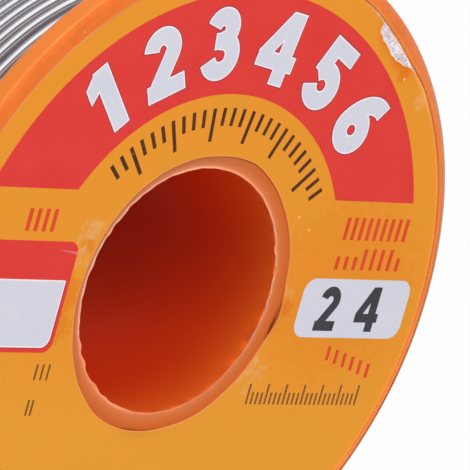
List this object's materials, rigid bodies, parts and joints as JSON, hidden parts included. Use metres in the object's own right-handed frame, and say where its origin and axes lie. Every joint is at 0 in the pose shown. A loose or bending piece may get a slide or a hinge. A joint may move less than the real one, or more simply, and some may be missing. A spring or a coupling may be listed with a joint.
{
  "type": "solder wire spool",
  "caption": "Small two-flanged spool with a hollow barrel, recessed paper labels and a nested winding of flux-cored solder wire with a loose outer end.",
  "frame": {"origin": "centre of the rear flange's outer face, on the spool's axis, where the spool rests", "axes": "+Z along the spool's axis, from the rear flange to the front flange; +Y towards the top of the front label; +X towards its right"},
  "size_m": [0.048, 0.048, 0.0236],
  "materials": {
    "spool_plastic": "translucent orange moulded plastic, satin gloss",
    "barrel_plastic": "translucent orange moulded plastic, dark where wire backs it",
    "front_paper": "coated label paper, semi-gloss print",
    "rear_paper": "coated label paper, semi-gloss print",
    "solder_wire": "bright drawn tin-lead wire",
    "rosin_flux": "amber rosin"
  },
  "bodies": {
    "spool": {"front_flange": "spool_plastic", "rear_flange": "spool_plastic", "hub_barrel": "barrel_plastic", "front_label": "front_paper", "rear_label": "rear_paper", "start_turn": "solder_wire", "wire_layer_1": "solder_wire", "wire_layer_2": "solder_wire", "wire_layer_3": "solder_wire", "wire_layer_4": "solder_wire", "wire_layer_5": "solder_wire", "wire_layer_6": "solder_wire", "wire_layer_7": "solder_wire", "wire_layer_8": "solder_wire", "wire_layer_9": "solder_wire"},
    "wire_end": {"loose_turn": "solder_wire", "flux_core": "rosin_flux"}
  },
  "joints": [
    {"name": "wire_payout", "type": "hinge", "parent": "spool", "child": "wire_end", "pos_m": [0, 0, 0.0027], "axis": [0, 0, 1], "continuous": true}
  ]
}
